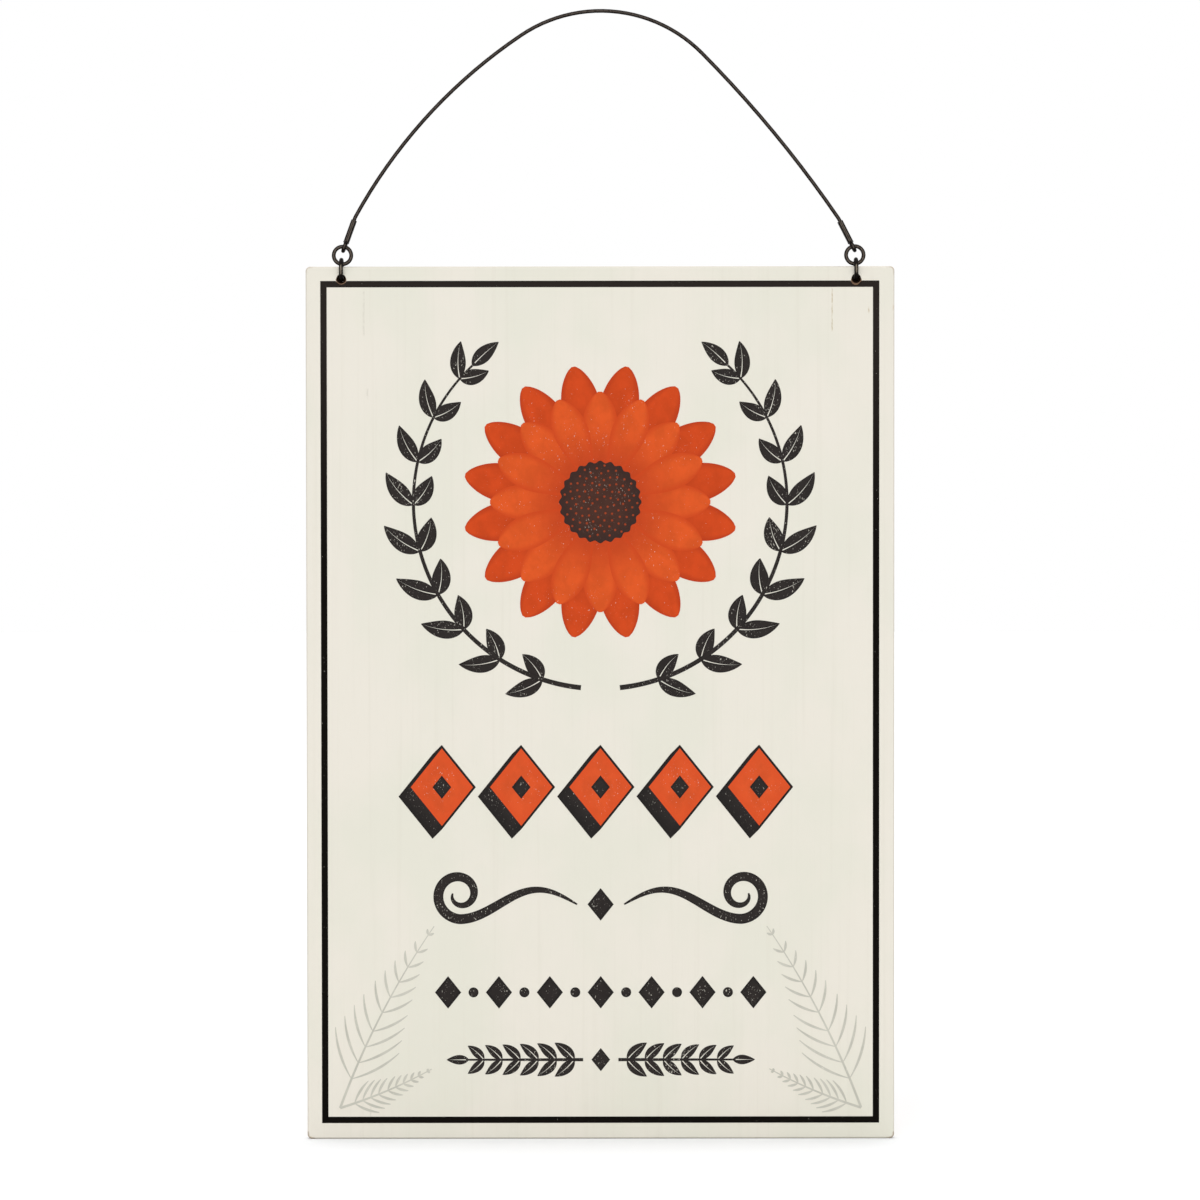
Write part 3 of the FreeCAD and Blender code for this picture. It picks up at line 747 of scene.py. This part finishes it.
def scroll(side):
    """Stroke along a flat S: a long wave from the middle outward that ends in a shrinking spiral."""
    run = np.linspace(0, 1, 120)
    wave = np.stack([SCROLL_START + SCROLL_RUN * run, SCROLL_WAVE * np.sin(math.pi * run * 1.5)], axis=1)
    turn = np.linspace(-math.pi / 2, 2.05 * math.pi, 140)
    shrink = CURL_RADIUS * (1 - CURL_SHRINK * np.linspace(0, 1, len(turn)))
    hub = wave[-1] + np.array((0.0, CURL_RADIUS))
    path = np.concatenate([wave[:-1], hub + rays(turn) * shrink[:, None]])
    half_width = 0.25 + 1.45 * np.sin(math.pi * np.linspace(0, 1, len(path))) ** 0.8
    return stroke(path * np.array((side, 1.0)) + np.array((0.0, SCROLL_Z)), half_width)


bead_ring = BEAD_RADIUS * ring_of_points[::BEAD_EVERY]
bead_films = [scroll(1), scroll(-1), lozenge(np.array((0.0, SCROLL_Z)), BEAD_SCALE)]
for k, bead_x in enumerate(np.linspace(-BEAD_SPREAD, BEAD_SPREAD, BEADS)):
    spot = np.array((bead_x, BEAD_Z))
    bead_films.append(lozenge(spot, BEAD_SCALE) if k % 2 == 0 else blot(spot, spot + bead_ring))
print_films("scroll_and_beads", bead_films, black_ink)

# %% [markdown]
# ## Foot sprigs
# Two straight sprigs lie end to end under the beads. They use the same leaves as the branches, only smaller, and
# grow outward from a small lozenge in the middle.

# %% Foot sprigs
SPRIG_Z = -356.0
SPRIG_START, SPRIG_LENGTH = 6.0, 40.0
SPRIG_PAIRS = 6
SPRIG_LEAN, SPRIG_BEND = 0.72, 0.4
SPRIG_TAPER = (0.55, 0.3)
# Length and belly of the leaf at its tip
SPRIG_TIP = (7.5, 1.6)


def sprig(side):
    """A straight tapered stem from the middle outward, with pairs of leaves and one at its tip."""
    run = np.linspace(0, 1, 40)
    path = np.stack([side * (SPRIG_START + SPRIG_LENGTH * run), np.full_like(run, SPRIG_Z)], axis=1)
    films = [stroke(path, np.linspace(*SPRIG_TAPER, len(run)), STEM_LAYER)]
    forward = 0.0 if side > 0 else math.pi
    for share in np.linspace(0.1, 0.86, SPRIG_PAIRS):
        spot = path[int(share * (len(run) - 1))]
        length, belly = 9.0 - 2.0 * share, 1.9 - 0.4 * share
        for out in (side, -side):
            films += leaf(spot, forward + out * SPRIG_LEAN, length, belly, -out * SPRIG_BEND)
    return films + leaf(path[-2], forward, *SPRIG_TIP, 0.0)


sprig_films = sprig(1) + sprig(-1) + [lozenge(np.array((0.0, SPRIG_Z)), STUD_SCALE)]
print_films("foot_sprigs", sprig_films, black_ink)

# %% [markdown]
# ## Pale fronds
# In the lower corners stand pale grey fronds, printed so lightly that they almost sink into the paint. A frond is a
# thin bent stroke with thinner strokes springing from it in pairs.

# %% Pale fronds
# Heading, length, bend and layer of the tall frond and the low one
FRONDS = ((1.22, 70.0, -0.25, 1.0), (0.3, 34.0, 0.2, 1.6))
FROND_PAIRS = 10
FROND_TAPER = (0.45, 0.16)
# How far a foot stands in from the border line's outer edge, and above its lowest
FROND_SIDE, FROND_RISE = LINE_WIDTH + 4.0, LINE_WIDTH + 3.0


def frond(side, foot, heading, length, bend, layer):
    """A bent stem and pairs of side strokes, shorter towards the tip."""
    u, v = np.linspace(0, 1, 60), np.linspace(0, 1, 20)
    curve = heading + bend * u
    path = bent_path(np.array(foot), curve, length, side)
    films = [stroke(path, np.linspace(*FROND_TAPER, len(u)), layer, across=3)]
    half_width = 0.12 + 0.34 * np.sin(math.pi * v)
    for share in np.linspace(0.16, 0.95, FROND_PAIRS):
        k = int(share * (len(u) - 1))
        for out in (1, -1):
            arm = bent_path(path[k], curve[k] + out * (0.95 - 0.5 * v), length * 0.3 * (1.05 - share), side)
            films.append(stroke(arm, half_width, layer - 0.2, across=3))
    return films


frond_films = []
for side, foot_x in ((1, LINE_LEFT + FROND_SIDE), (-1, LINE_RIGHT - FROND_SIDE)):
    for shape in FRONDS:
        frond_films += frond(side, (foot_x, LINE_LOW + FROND_RISE), *shape)
print_films("pale_fronds", frond_films, grey_ink)

# %% [markdown]
# ## Floor
# The sign stands for its picture on a white sweep. The floor keeps all its shading, and with it the narrow shadow at
# the board's foot, but a matt floor never gets as white as the paper in a picture. So for a ray from the camera, or
# one off a shiny surface, it is a little brighter. A stronger light would do that too, but it would bleach the sign.

# %% Floor
FLOOR_Z = board_low.z - 0.02 * MM
SWEEP = 6.0
SWEEP_POINTS = 13
FLOOR_GREY = (0.8, 0.8, 0.8, 1.0)
FLOOR_GLOW, FLOOR_GLOW_STRENGTH = (0.95, 1.0, 1.08, 1.0), 0.155

sweep_line = np.linspace(-SWEEP, SWEEP, SWEEP_POINTS)
sweep_x, sweep_y = np.meshgrid(sweep_line, sweep_line)
floor_points = np.stack([sweep_x, sweep_y, np.full_like(sweep_x, FLOOR_Z)], axis=-1).reshape(-1, 3)
i, j = np.arange(SWEEP_POINTS - 1)[:, None], np.arange(SWEEP_POINTS - 1)[None, :]
floor_mesh = bpy.data.meshes.new("floor")
floor_mesh.from_pydata(floor_points.tolist(), [], quads_of(i, j, i + 1, j + 1, SWEEP_POINTS))
floor = bpy.data.objects.new("floor", floor_mesh)
bpy.context.scene.collection.objects.link(floor)


def seen_directly(tree):
    """1 for a ray from the camera, off a shiny surface or through glass, and 0 for any other."""
    path = tree.nodes.new("ShaderNodeLightPath")
    return strongest(tree, *[path.outputs[f"Is {kind} Ray"] for kind in ("Camera", "Glossy", "Transmission")])


floor_finish = bpy.data.materials.new("white_sweep")
floor_finish.use_nodes = True
tree = floor_finish.node_tree
tree.nodes.clear()
matt = put(tree, "ShaderNodeBsdfDiffuse", {"Color": FLOOR_GREY})
glow = put(tree, "ShaderNodeEmission", {"Color": FLOOR_GLOW, "Strength": FLOOR_GLOW_STRENGTH})
shown = put(tree, "ShaderNodeAddShader", {0: matt, 1: glow})
surface = put(tree, "ShaderNodeMixShader", {0: seen_directly(tree), 1: matt, 2: shown})
put(tree, "ShaderNodeOutputMaterial", {"Surface": surface})
floor_mesh.materials.append(floor_finish)
print("floor at z =", round(FLOOR_Z / MM, 2), "mm")

# %% [markdown]
# ## Light
# The light is soft and comes from all around, as in a light tent. One light from above in front models the board, a
# low one fills it, one from straight above lays the narrow shadow at its foot, and one from behind lights its back.
# The white that the camera sees is kept apart from the light on the sign: for a ray from the camera, or
# one off a shiny surface, the world is plain white, and for all other rays it is a softer, even glow.

# %% World and lamps
GLOW = 0.55
WHITE = (1.0, 1.0, 1.0, 1.0)
# Height, turn and spread in degrees, and strength
LIGHTS = {
    "light_above": (48.0, -12.0, 50.0, 0.7),
    "light_front": (12.0, 20.0, 40.0, 0.38),
    "light_top": (87.6, 180.0, 12.0, 0.95),
    "light_behind": (50.0, 180.0, 80.0, 0.52),
}

world = bpy.data.worlds.new("studio")
bpy.context.scene.world = world
world.use_nodes = True
tree = world.node_tree
tree.nodes.clear()
soft = put(tree, "ShaderNodeBackground", {"Color": WHITE, "Strength": GLOW})
white = put(tree, "ShaderNodeBackground", {"Color": WHITE, "Strength": 1.0})
sky = put(tree, "ShaderNodeMixShader", {0: seen_directly(tree), 1: soft, 2: white})
put(tree, "ShaderNodeOutputWorld", {"Surface": sky})


def soft_sun(name, height, turn, spread, strength):
    """Even light from far away: height and turn in degrees as seen from the front, spread is how wide it looks."""
    lamp = bpy.data.lights.new(name, "SUN")
    lamp.angle = math.radians(spread)
    lamp.energy = strength
    holder = bpy.data.objects.new(name, lamp)
    rise, swing = math.radians(height), math.radians(turn)
    source = Vector((math.cos(rise) * math.sin(swing), -math.cos(rise) * math.cos(swing), math.sin(rise)))
    holder.matrix_world = (-source).to_track_quat("-Z", "Y").to_matrix().to_4x4()
    bpy.context.scene.collection.objects.link(holder)


for name, setting in LIGHTS.items():
    soft_sun(name, *setting)
bpy.context.scene.view_settings.view_transform = "Standard"
print(len(LIGHTS), "soft lights and an even glow of", GLOW)
